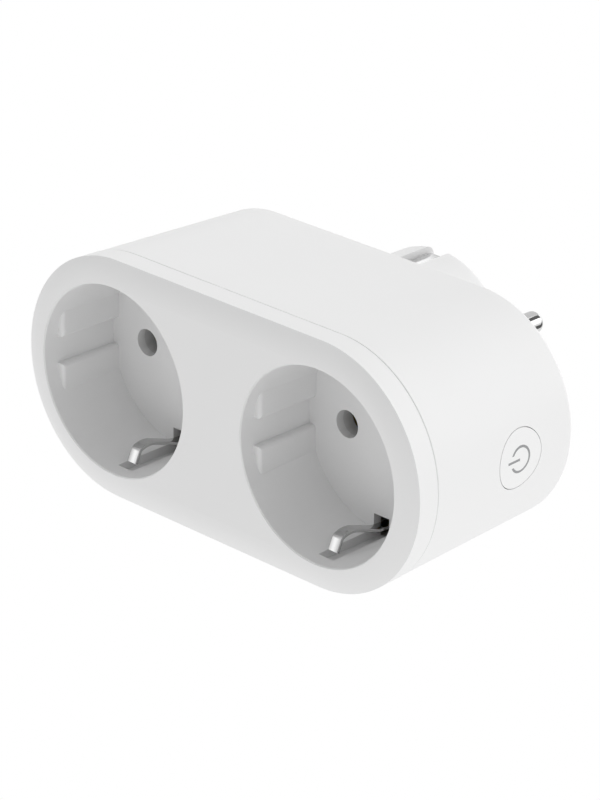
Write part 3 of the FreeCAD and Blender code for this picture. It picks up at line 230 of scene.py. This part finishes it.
def add(tree, kind, values=(), links=(), **settings):
    """Add a node with its settings, socket values and links."""
    node = tree.nodes.new(kind)
    for key, value in settings.items():
        setattr(node, key, value)
    for key, value in dict(values).items():
        node.inputs[key].default_value = value
    for key, socket in dict(links).items():
        tree.links.new(socket, node.inputs[key])
    return node


def new_material(name):
    material = bpy.data.materials.new(name)
    material.use_nodes = True
    material.node_tree.nodes.clear()
    return material, material.node_tree


def finish(tree, shader):
    add(tree, "ShaderNodeOutputMaterial", links={"Surface": shader.outputs["BSDF"]})


def moulded_plastic(name, colour, roughness, grain, depth=0.004 * MM, spread=0.02, ior=1.54):
    """Injection-moulded plastic: an even satin with the fine grain of a spark-eroded mould."""
    material, tree = new_material(name)
    place = add(tree, "ShaderNodeTexCoord").outputs["Object"]
    fine = add(tree, "ShaderNodeTexNoise", {"Scale": 1 / grain, "Detail": 2.0, "Roughness": 0.6}, {"Vector": place})
    broad = add(tree, "ShaderNodeTexNoise", {"Scale": 1 / (22 * MM), "Detail": 2.0}, {"Vector": place})
    base = linear(colour)
    darker = [channel * (1 - spread) for channel in base[:3]] + [1.0]
    tint = add(tree, "ShaderNodeMix", {"A": darker, "B": base}, {"Factor": broad.outputs["Fac"]}, data_type="RGBA")
    gloss = add(tree, "ShaderNodeMapRange", {"To Min": roughness - 0.04, "To Max": roughness + 0.04},
                {"Value": fine.outputs["Fac"]})
    bump = add(tree, "ShaderNodeBump", {"Strength": 0.35, "Distance": depth}, {"Height": fine.outputs["Fac"]})
    shader = add(tree, "ShaderNodeBsdfPrincipled", {"IOR": ior}, {
        "Base Color": tint.outputs["Result"], "Roughness": gloss.outputs["Result"],
        "Normal": bump.outputs["Normal"]})
    finish(tree, shader)
    return material


def shade_pin_sleeves(material, look):
    """Painted shade: greyer plastic behind the socket floors, in the four pin sleeves, that stands in for the shade
    deep in the pin holes.
    """
    tree = material.node_tree
    shader = next(node for node in tree.nodes if node.type == "BSDF_PRINCIPLED")
    plain = shader.inputs["Base Color"].links[0].from_socket
    place = add(tree, "ShaderNodeSeparateXYZ", links={
        "Vector": add(tree, "ShaderNodeTexCoord").outputs["Object"]}).outputs

    def off(value, distance):
        """How far a value is from a distance on either side of zero."""
        size = add(tree, "ShaderNodeMath", links={0: value}, operation="ABSOLUTE").outputs["Value"]
        return add(tree, "ShaderNodeMath", {1: distance}, {0: size}, operation="SUBTRACT").outputs["Value"]

    flat = add(tree, "ShaderNodeCombineXYZ", links={
        "X": off(off(place["X"], look.socket_offset), look.pin_offset), "Y": place["Z"]}).outputs["Vector"]
    far = add(tree, "ShaderNodeVectorMath", links={0: flat}, operation="LENGTH").outputs["Value"]
    near = add(tree, "ShaderNodeMath", {1: look.sleeve_radius}, {0: far}, operation="LESS_THAN").outputs["Value"]
    deep = add(tree, "ShaderNodeMath", {1: look.sleeve_start}, {0: place["Y"]}, operation="GREATER_THAN")
    shade_mask = add(tree, "ShaderNodeMath", links={0: near, 1: deep.outputs["Value"]}, operation="MULTIPLY")
    # painted shade: the sleeve grey replaces the plastic's colour inside the pin sleeves
    shaded_colour = add(tree, "ShaderNodeMix", {"B": linear(look.sleeve_shade_grey)}, {
        "Factor": shade_mask.outputs["Value"], "A": plain}, data_type="RGBA")
    tree.links.new(shaded_colour.outputs["Result"], shader.inputs["Base Color"])


def plated_metal(name, colour, roughness, pitch, stretch=(1, 1, 1), depth=0.002 * MM):
    """Plated or rolled metal: long faint drawing lines, a little uneven in gloss."""
    material, tree = new_material(name)
    place = add(tree, "ShaderNodeTexCoord").outputs["Object"]
    turned = add(tree, "ShaderNodeMapping", {"Scale": stretch}, {"Vector": place})
    lines = add(tree, "ShaderNodeTexNoise", {"Scale": 1 / pitch, "Detail": 3.0, "Roughness": 0.6},
                {"Vector": turned.outputs["Vector"]})
    base = linear(colour)
    darker = [channel * 0.94 for channel in base[:3]] + [1.0]
    tint = add(tree, "ShaderNodeMix", {"A": darker, "B": base}, {"Factor": lines.outputs["Fac"]}, data_type="RGBA")
    gloss = add(tree, "ShaderNodeMapRange", {"To Min": roughness - 0.03, "To Max": roughness + 0.05},
                {"Value": lines.outputs["Fac"]})
    bump = add(tree, "ShaderNodeBump", {"Strength": 0.25, "Distance": depth}, {"Height": lines.outputs["Fac"]})
    shader = add(tree, "ShaderNodeBsdfPrincipled", {"Metallic": 1.0}, {
        "Base Color": tint.outputs["Result"], "Roughness": gloss.outputs["Result"],
        "Normal": bump.outputs["Normal"]})
    finish(tree, shader)
    return material


def dress(material, *names):
    """Give CAD nodes a finish."""
    for name in names:
        slots = frame["nodes"][name].data.materials
        slots.clear()
        slots.append(material)


class FinishCasing(bpy.types.Operator):
    """Finish the moulded shells, the push button and its symbol"""
    bl_idname = "smart_plug.finish_casing"
    bl_label = "Finish casing"

    def execute(self, context):
        look = context.scene.smart_plug_casing
        # white ABS: bright, even and matt, with a soft sheen at glancing angles
        shell = moulded_plastic("moulded_abs_white", look.shell_white, look.shell_roughness, look.grain)
        dress(shell, "rear_shell")
        # the same ABS, with painted shade: greyer in the pin sleeves, standing in for the shade deep in the pin holes
        cover = moulded_plastic("moulded_abs_cover", look.shell_white, look.shell_roughness, look.grain)
        shade_pin_sleeves(cover, look)
        dress(cover, "front_cover")
        # button: a little whiter and glossier than the shells, so that the cap reads as its own piece
        dress(moulded_plastic("moulded_abs_button", look.button_white, 0.36, look.grain), "power_button")
        # inlay: a thin mid grey line
        dress(moulded_plastic("tinted_lens", look.symbol_grey, 0.3, look.grain, spread=0.05, ior=1.49),
              "power_symbol")
        # polyamide carrier: warmer and duller than the shells
        dress(moulded_plastic("moulded_pa_white", "#DCDBD6", 0.5, look.grain), "pin_carrier")
        # acetal plunger: smooth white
        dress(moulded_plastic("moulded_pom_white", look.button_white, 0.4, look.grain), "tact_switch_plunger")
        return {"FINISHED"}


class FinishContacts(bpy.types.Operator):
    """Finish the pins, earth contacts, springs and busbars"""
    bl_idname = "smart_plug.finish_contacts"
    bl_label = "Finish contacts"

    def execute(self, context):
        look = context.scene.smart_plug_metal
        along_y = (1, 0.05, 1)
        # nickel plate on turned brass: near mirror with fine lines along the pins
        nickel = plated_metal("nickel_plated_brass", look.nickel, 0.1, 0.25 * MM, along_y)
        dress(nickel, "plug_pin_line", "plug_pin_neutral", "plug_earth_contact_top", "plug_earth_contact_bottom")
        # rolled brass: warm yellow with lines along the strip
        brass = plated_metal("rolled_brass", look.brass, 0.28, 0.3 * MM, (0.1, 1, 1))
        names = [name for name in frame["nodes"] if name.startswith(("contact_clip", "earth_rail", "earth_strap"))]
        dress(brass, "line_busbar", "neutral_busbar", *names)
        return {"FINISHED"}


# ---------------------------------------------------------------- bent sheet
def bent_sheet_tree():
    """Geometry Nodes: a strip of sheet that follows a line of corners, each with its own bend."""
    tree = bpy.data.node_groups.new("bent_sheet", "GeometryNodeTree")
    socket = tree.interface.new_socket
    socket("Line", in_out="INPUT", socket_type="NodeSocketGeometry")
    for name in ("Sheet", "Width", "Edge"):
        socket(name, in_out="INPUT", socket_type="NodeSocketFloat")
    socket("Finish", in_out="INPUT", socket_type="NodeSocketMaterial")
    socket("Strip", in_out="OUTPUT", socket_type="NodeSocketGeometry")
    given = add(tree, "NodeGroupInput").outputs
    line = add(tree, "GeometryNodeMeshToCurve", links={"Mesh": given["Line"]})
    bend = add(tree, "GeometryNodeInputNamedAttribute", {"Name": "bend"}, data_type="FLOAT")
    path = add(tree, "GeometryNodeFilletCurve", {"Count": 14, "Limit Radius": True}, {
        "Curve": line.outputs["Curve"], "Radius": bend.outputs["Attribute"]}, mode="POLY")
    upright = add(tree, "GeometryNodeSetCurveNormal", links={"Curve": path.outputs["Curve"]}, mode="Z_UP")
    section = add(tree, "GeometryNodeCurvePrimitiveQuadrilateral", links={
        "Width": given["Sheet"], "Height": given["Width"]}, mode="RECTANGLE")
    soft = add(tree, "GeometryNodeFilletCurve", {"Count": 4, "Limit Radius": True}, {
        "Curve": section.outputs["Curve"], "Radius": given["Edge"]}, mode="POLY")
    strip = add(tree, "GeometryNodeCurveToMesh", {"Fill Caps": True}, {
        "Curve": upright.outputs["Curve"], "Profile Curve": soft.outputs["Curve"]})
    real = add(tree, "GeometryNodeRealizeInstances", links={"Geometry": strip.outputs["Mesh"]})
    done = add(tree, "GeometryNodeSetMaterial", links={
        "Geometry": real.outputs["Geometry"], "Material": given["Finish"]})
    add(tree, "NodeGroupOutput", links={"Strip": done.outputs["Geometry"]})
    return tree


def grown(name, tree, points, edges, values, attributes=()):
    """Plain mesh that a node tree makes from points and edges."""
    seed = bpy.data.meshes.new(name + "_line")
    seed.from_pydata(points, edges, [])
    for key, numbers in dict(attributes).items():
        seed.attributes.new(key, "FLOAT", "POINT").data.foreach_set("value", numbers)
    holder = bpy.data.objects.new(name + "_line", seed)
    bpy.context.scene.collection.objects.link(holder)
    modifier = holder.modifiers.new("grow", "NODES")
    modifier.node_group = tree
    for item in tree.interface.items_tree:
        if item.item_type == "SOCKET" and item.in_out == "INPUT" and item.name in values:
            modifier[item.identifier] = values[item.name]
    graph = bpy.context.evaluated_depsgraph_get()
    mesh = bpy.data.meshes.new_from_object(holder.evaluated_get(graph), depsgraph=graph)
    holder.modifiers.remove(modifier)
    bpy.data.objects.remove(holder)
    mesh.name = name
    if not mesh.polygons:
        raise RuntimeError(name + " came out empty")
    return mesh


def piece_of(name, mesh, node):
    """Object made of a mesh, in place of a CAD node and riding on that node's body."""
    mesh.shade_smooth()
    mesh.set_sharp_from_angle(angle=math.radians(40))
    piece = bpy.data.objects.new(name, mesh)
    bpy.context.scene.collection.objects.link(piece)
    body = next(key for key, nodes in frame["record"]["behaviour"]["bodies"].items() if node in nodes)
    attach(piece, body)
    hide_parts(node)
    return piece


class BendEarthClips(bpy.types.Operator):
    """Bend the four sprung earth clips of the sockets from nickel-plated sheet"""
    bl_idname = "smart_plug.bend_earth_clips"
    bl_label = "Bend earth clips"

    def execute(self, context):
        spring = context.scene.smart_plug_spring
        metal = context.scene.smart_plug_metal
        tree = bent_sheet_tree()
        # nickel on spring steel: greyer than the pins, with a white flash on the nose
        finish_sheet = plated_metal("nickel_plated_spring_steel", metal.spring, metal.nickel_roughness, 0.3 * MM)
        for side in ("left", "right"):
            for end, way in (("top", 1), ("bottom", -1)):
                node = "earth_clip_%s_%s" % (side, end)
                low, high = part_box(node)
                near, far = (low.z, high.z) if way > 0 else (-high.z, -low.z)
                line = [
                    (high.y, far - spring.root_drop, 0),
                    (low.y + spring.knee_back, far - spring.knee_drop, 0),
                    (low.y + spring.crest_back, near + spring.crest_rise, 0),
                    (low.y + spring.nose_back, near + spring.nose_rise, 0),
                    (low.y + spring.sheet / 2, far - spring.tip_drop, 0),
                ]
                mesh = grown("spring_" + node, tree, line, [(0, 1), (1, 2), (2, 3), (3, 4)],
                             {"Sheet": spring.sheet, "Width": high.x - low.x, "Edge": spring.edge,
                              "Finish": finish_sheet},
                             {"bend": [0, spring.knee_bend, spring.crest_bend, spring.nose_bend, 0]})
                middle = (low.x + high.x) / 2
                # drawn flat as (along, away from the axis, across), then stood up beside the socket axis
                mesh.transform(Matrix(((0, 0, way, middle), (1, 0, 0, 0), (0, way, 0, 0), (0, 0, 0, 1))))
                piece_of("spring_" + node, mesh, node)
        return {"FINISHED"}


# ---------------------------------------------------------------- screws
SHOULDER_STEPS = 5  # facets of the rounded shoulder of a screw head
HEAD_FACETS = 48
SHANK_FACETS = 24
CORE_SHARE = 0.78  # radius under the thread, of the thread's radius
THREAD_SHARE = 0.94  # threaded length, of the shank's length


def socket_name(key):
    """Name of the tree input that a setting goes to."""
    return key.replace("_", " ").title()


def case_screw_tree():
    """Geometry Nodes: a thread-forming pan head screw at every point, head towards +Y."""
    tree = bpy.data.node_groups.new("case_screw", "GeometryNodeTree")
    socket = tree.interface.new_socket
    socket("Seats", in_out="INPUT", socket_type="NodeSocketGeometry")
    for name in ("Length", *map(socket_name, ScrewSettings.__annotations__)):
        socket(name, in_out="INPUT", socket_type="NodeSocketFloat")
    socket("Finish", in_out="INPUT", socket_type="NodeSocketMaterial")
    socket("Screws", in_out="OUTPUT", socket_type="NodeSocketGeometry")
    given = add(tree, "NodeGroupInput").outputs

    def sums(operation, first, second):
        node = add(tree, "ShaderNodeMath", operation=operation)
        for index, value in enumerate((first, second)):
            if isinstance(value, (int, float)):
                node.inputs[index].default_value = value
            else:
                tree.links.new(value, node.inputs[index])
        return node.outputs["Value"]

    def vector(x=None, y=None, z=None):
        links = {key: value for key, value in (("X", x), ("Y", y), ("Z", z)) if value is not None}
        return add(tree, "ShaderNodeCombineXYZ", links=links).outputs["Vector"]

    def moved(mesh, offset):
        return add(tree, "GeometryNodeTransform", links={"Geometry": mesh, "Translation": offset}).outputs["Geometry"]

    # pan head: the hull of rings that follow its rounded shoulder
    rings = add(tree, "GeometryNodeJoinGeometry")
    steps = [(1.0, None)] + [(math.cos(turn), math.sin(turn)) for turn in
                             (index * math.pi / 2 / SHOULDER_STEPS for index in range(SHOULDER_STEPS + 1))]
    for cosine, sine in steps:
        radius = sums("SUBTRACT", given["Head Radius"], sums("MULTIPLY", given["Head Edge"], 1 - cosine))
        ring = add(tree, "GeometryNodeMeshCircle", {"Vertices": HEAD_FACETS}, {"Radius": radius}).outputs["Mesh"]
        if sine is not None:
            drop = sums("MULTIPLY", given["Head Edge"], 1 - sine)
            ring = moved(ring, vector(z=sums("SUBTRACT", given["Head Height"], drop)))
        tree.links.new(ring, rings.inputs["Geometry"])
    head = add(tree, "GeometryNodeConvexHull", links={"Geometry": rings.outputs["Geometry"]}).outputs["Convex Hull"]
    deep = sums("MULTIPLY", given["Recess Deep"], 2)
    for wide, long in (("Recess Wide", "Recess Long"), ("Recess Long", "Recess Wide")):
        block = add(tree, "GeometryNodeMeshCube", links={"Size": vector(given[wide], given[long], deep)})
        wing = moved(block.outputs["Mesh"], vector(z=given["Head Height"]))
        cut = add(tree, "GeometryNodeMeshBoolean", operation="DIFFERENCE", solver="EXACT")
        tree.links.new(head, cut.inputs["Mesh 1"])
        tree.links.new(wing, cut.inputs["Mesh 2"])
        head = cut.outputs["Mesh"]

    # shank and its thread
    core = sums("MULTIPLY", given["Thread Radius"], CORE_SHARE)
    below = vector(z=sums("MULTIPLY", given["Length"], -0.5))
    shank = add(tree, "GeometryNodeMeshCylinder", {"Vertices": SHANK_FACETS}, {
        "Radius": core, "Depth": given["Length"]})
    turns = sums("DIVIDE", given["Length"], given["Pitch"])
    helix = add(tree, "GeometryNodeCurveSpiral", {"Resolution": 20}, {
        "Rotations": turns, "Start Radius": core, "End Radius": core,
        "Height": sums("MULTIPLY", given["Length"], THREAD_SHARE)})
    ridge = add(tree, "GeometryNodeCurvePrimitiveCircle", {"Resolution": 4}, {
        "Radius": sums("SUBTRACT", given["Thread Radius"], core)}, mode="RADIUS")
    thread = add(tree, "GeometryNodeCurveToMesh", {"Fill Caps": True}, {
        "Curve": helix.outputs["Curve"], "Profile Curve": ridge.outputs["Curve"]})
    low_end = vector(z=sums("MULTIPLY", given["Length"], -(1 + THREAD_SHARE) / 2))

    screw = add(tree, "GeometryNodeJoinGeometry")
    for part in (head, moved(shank.outputs["Mesh"], below), moved(thread.outputs["Mesh"], low_end)):
        tree.links.new(part, screw.inputs["Geometry"])
    placed = add(tree, "GeometryNodeInstanceOnPoints", {"Rotation": (-math.pi / 2, 0, 0)}, {
        "Points": given["Seats"], "Instance": screw.outputs["Geometry"]})
    real = add(tree, "GeometryNodeRealizeInstances", links={"Geometry": placed.outputs["Instances"]})
    done = add(tree, "GeometryNodeSetMaterial", links={
        "Geometry": real.outputs["Geometry"], "Material": given["Finish"]})
    add(tree, "NodeGroupOutput", links={"Screws": done.outputs["Geometry"]})
    return tree


class DriveScrews(bpy.types.Operator):
    """Drive the four case screws into their wells"""
    bl_idname = "smart_plug.drive_screws"
    bl_label = "Drive screws"

    def execute(self, context):
        screw = context.scene.smart_plug_screw
        low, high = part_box("case_screws")
        seat = high.y - screw.head_height
        wide, tall = high.x - screw.head_radius, high.z - screw.head_radius
        points = [(x, seat, z) for x in (-wide, wide) for z in (-tall, tall)]
        values = {socket_name(key): getattr(screw, key) for key in ScrewSettings.__annotations__}
        values["Length"] = seat - low.y
        # zinc plate: a cool, slightly cloudy grey deep in the wells
        values["Finish"] = plated_metal("zinc_plated_steel", "#A9ABAE", 0.3, 0.2 * MM)
        mesh = grown("driven_case_screws", case_screw_tree(), points, [], values)
        piece_of("driven_case_screws", mesh, "case_screws")
        return {"FINISHED"}


class FinishElectronics(bpy.types.Operator):
    """Finish the boards and the components on them"""
    bl_idname = "smart_plug.finish_electronics"
    bl_label = "Finish electronics"

    def execute(self, context):
        grain = context.scene.smart_plug_casing.grain
        # solder mask: deep green, slightly cloudy over the glass weave
        dress(moulded_plastic("solder_mask_green", "#1D6B3C", 0.35, 0.4 * MM, spread=0.12),
              "main_board", "wifi_board", "button_board")
        # relay case: strong blue, smooth
        dress(moulded_plastic("relay_case_blue", "#1E4C9A", 0.4, grain), "relay")
        # shrink sleeve: near black with a soft gleam
        dress(moulded_plastic("capacitor_sleeve_black", "#22242A", 0.35, grain), "supply_capacitors")
        # sintered ferrite: dull dark grey, mottled
        dress(moulded_plastic("ferrite_grey", "#3A3B3D", 0.6, 0.3 * MM, spread=0.15), "filter_inductor")
        # dipped epoxy coat: dull blue
        dress(moulded_plastic("varistor_blue", "#2A4FA3", 0.5, grain), "surge_varistor")
        # cement coat: pale green, dull
        dress(moulded_plastic("resistor_green", "#6E9A84", 0.5, grain), "fuse_resistor")
        # moulding compound: matt black
        dress(moulded_plastic("moulded_epoxy_black", "#1B1C1D", 0.55, grain),
              "bridge_rectifier", "metering_chip", "tact_switch_body", "board_header")
        # clear epoxy: pale and glossy
        dress(moulded_plastic("led_epoxy_clear", "#DCE6F2", 0.2, grain), "status_led")
        # tin plate: light grey, softly mirroring
        dress(plated_metal("tinned_steel", "#C9CACB", 0.3, 0.3 * MM), "wifi_shield_can")
        # bare resistance alloy: brownish metal
        dress(plated_metal("shunt_alloy", "#B08D6E", 0.35, 0.3 * MM), "current_shunt")
        return {"FINISHED"}


# ---------------------------------------------------------------- studio
# azimuth from square to the sockets towards the button, elevation, strength, falloff round its middle
SOFTBOXES = (
    ("front", 0, 10, 0.28, 6),
    ("right_front", 60, 10, 0.76, 6),
    ("right_rear", 120, 10, 1.68, 6),
    ("rear", 180, 10, 1.64, 6),
    ("left_rear", 240, 10, 1.06, 6),
    ("left_front", 300, 10, 0.26, 6),
    ("high_rear", 150, 45, 1.77, 6),
    ("high_left", 212, 45, 0.64, 6),
    ("high_front", 330, 45, 0.97, 6),
    ("strip", 319, 14, 1.9, 60),
    ("over_rear", 223, 27, 0.3, 30),
)
# cards that only reflections see, for the lines along the pins: turn about the pin, width, sRGB hex
CARDS = (("card_top", 112, 100, "#E6E6E6"), ("card_high", 44, 28, "#686868"), ("card_low", -20, 25, "#606060"))
CARD_REACH = 60 * MM
CARD_HALF = 22 * MM
FLOOR_REACH = 6.0
FLOOR_GAP = 0.2 * MM  # floor below the plug, so that the two never share a plane


def face_centre():
    return Vector((0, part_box("front_cover")[0].y, 0))


def shining_sheet(name, corners, tone):
    """Flat four-cornered sheet of the stage that shines evenly."""
    material, tree = new_material("lit_" + name)
    glow = add(tree, "ShaderNodeEmission", {"Color": linear(tone), "Strength": 1.0})
    add(tree, "ShaderNodeOutputMaterial", links={"Surface": glow.outputs["Emission"]})
    mesh = bpy.data.meshes.new(name)
    mesh.from_pydata(corners, [], [(0, 1, 2, 3)])
    mesh.materials.append(material)
    sheet = bpy.data.objects.new(name, mesh)
    bpy.context.scene.collection.objects.link(sheet)
    return sheet


def camera_axes(studio):
    """Right, up and back of the camera."""
    a, e, r = studio.azimuth, studio.elevation, studio.roll
    right = Vector((math.cos(a), math.sin(a), 0))
    back = Vector((math.sin(a) * math.cos(e), -math.cos(a) * math.cos(e), math.sin(e)))
    up = back.cross(right)
    return (math.cos(r) * right + math.sin(r) * up, math.cos(r) * up - math.sin(r) * right, back)


class BuildStudio(bpy.types.Operator):
    """Set up the floor, the soft light and the camera"""
    bl_idname = "smart_plug.build_studio"
    bl_label = "Build studio"

    def execute(self, context):
        studio = context.scene.smart_plug_studio
        self.place_camera(context, studio)
        self.light_room(context, studio)
        self.lay_floor()
        self.stand_cards(studio)
        return {"FINISHED"}

    def place_camera(self, context, studio):
        right, up, back = camera_axes(studio)
        data = bpy.data.cameras.new("studio_camera")
        data.lens = studio.lens
        data.sensor_width = 36.0
        data.clip_start = 0.01
        data.clip_end = 50.0
        camera = bpy.data.objects.new("studio_camera", data)
        context.scene.collection.objects.link(camera)
        turn = Matrix((right, up, back)).transposed().to_4x4()
        spot = face_centre() + back * studio.distance + right * studio.shift_right + up * studio.shift_up
        camera.matrix_world = Matrix.Translation(spot) @ turn
        context.scene.camera = camera

    def light_room(self, context, studio):
        context.scene.view_settings.view_transform = "Standard"
        world = bpy.data.worlds.new("soft_room")
        context.scene.world = world
        world.use_nodes = True
        tree = world.node_tree
        tree.nodes.clear()
        way = add(tree, "ShaderNodeVectorMath", links={
            0: add(tree, "ShaderNodeTexCoord").outputs["Generated"]}, operation="NORMALIZE").outputs["Vector"]
        total = None
        for name, azimuth, elevation, strength, falloff in SOFTBOXES:
            a, e = math.radians(azimuth), math.radians(elevation)
            middle = (math.sin(a) * math.cos(e), -math.cos(a) * math.cos(e), math.sin(e))
            facing = add(tree, "ShaderNodeVectorMath", {1: middle}, {0: way}, operation="DOT_PRODUCT")
            ahead = add(tree, "ShaderNodeMath", {1: 0.0}, {0: facing.outputs["Value"]}, operation="MAXIMUM")
            lobe = add(tree, "ShaderNodeMath", {1: falloff}, {0: ahead.outputs["Value"]}, operation="POWER")
            box = add(tree, "ShaderNodeMath", {1: strength * studio.light, 2: studio.fill}, {
                0: lobe.outputs["Value"]}, operation="MULTIPLY_ADD", label=name)
            if total:
                tree.links.new(total, box.inputs[2])
            total = box.outputs["Value"]
        light = add(tree, "ShaderNodeBackground", links={"Strength": total})
        add(tree, "ShaderNodeOutputWorld", links={"Surface": light.outputs["Background"]})

    def lay_floor(self):
        level = CAD_LOW.z - FLOOR_GAP
        corners = [(x * FLOOR_REACH, y * FLOOR_REACH, level) for x, y in ((-1, -1), (1, -1), (1, 1), (-1, 1))]
        shining_sheet("studio_floor", corners, "#FFFFFF")

    def stand_cards(self, studio):
        low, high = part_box("plug_pin_neutral")
        tip = Vector(((low.x + high.x) / 2, high.y - (high.x - low.x), (low.z + high.z) / 2))
        back = camera_axes(studio)[2]
        across = math.hypot(back.x, back.z)
        for name, turn, width, tone in CARDS:
            ends = []
            for angle in (math.radians(turn - width / 2), math.radians(turn + width / 2)):
                ends.append(Vector((across * math.cos(angle), -back.y, across * math.sin(angle))))
            along = (ends[1] - ends[0]).cross(ends[0] + ends[1]).normalized() * CARD_HALF
            corners = [tip + end * CARD_REACH + way * along for end, way in zip(ends + ends[::-1], (-1, -1, 1, 1))]
            card = shining_sheet(name, corners, tone)
            card.visible_camera = False
            card.visible_diffuse = False
            card.visible_shadow = False


# ---------------------------------------------------------------- panel and registration
OPERATORS = (FinishCasing, FinishContacts, BendEarthClips, DriveScrews, FinishElectronics, BuildStudio)


class SmartPlugPanel(bpy.types.Panel):
    """Settings and steps of the smart plug's looks"""
    bl_idname = "VIEW3D_PT_smart_plug"
    bl_label = "Smart plug"
    bl_space_type = "VIEW_3D"
    bl_region_type = "UI"
    bl_category = "Smart plug"

    def draw(self, context):
        for name in SETTINGS:
            group = getattr(context.scene, name)
            column = self.layout.column(align=True)
            for key in group.__annotations__:
                column.prop(group, key)
        for step in OPERATORS:
            self.layout.operator(step.bl_idname)


def register():
    for item in (*SETTINGS.values(), *OPERATORS, SmartPlugPanel):
        bpy.utils.register_class(item)
    for name, group in SETTINGS.items():
        setattr(bpy.types.Scene, name, bpy.props.PointerProperty(type=group))


def unregister():
    for name in reversed(SETTINGS):
        delattr(bpy.types.Scene, name)
    for item in reversed((*SETTINGS.values(), *OPERATORS, SmartPlugPanel)):
        bpy.utils.unregister_class(item)


def main():
    register()
    bpy.ops.smart_plug.finish_casing()
    bpy.ops.smart_plug.finish_contacts()
    bpy.ops.smart_plug.bend_earth_clips()
    bpy.ops.smart_plug.drive_screws()
    bpy.ops.smart_plug.finish_electronics()
    bpy.ops.smart_plug.build_studio()


if __name__ == "__main__":
    main()
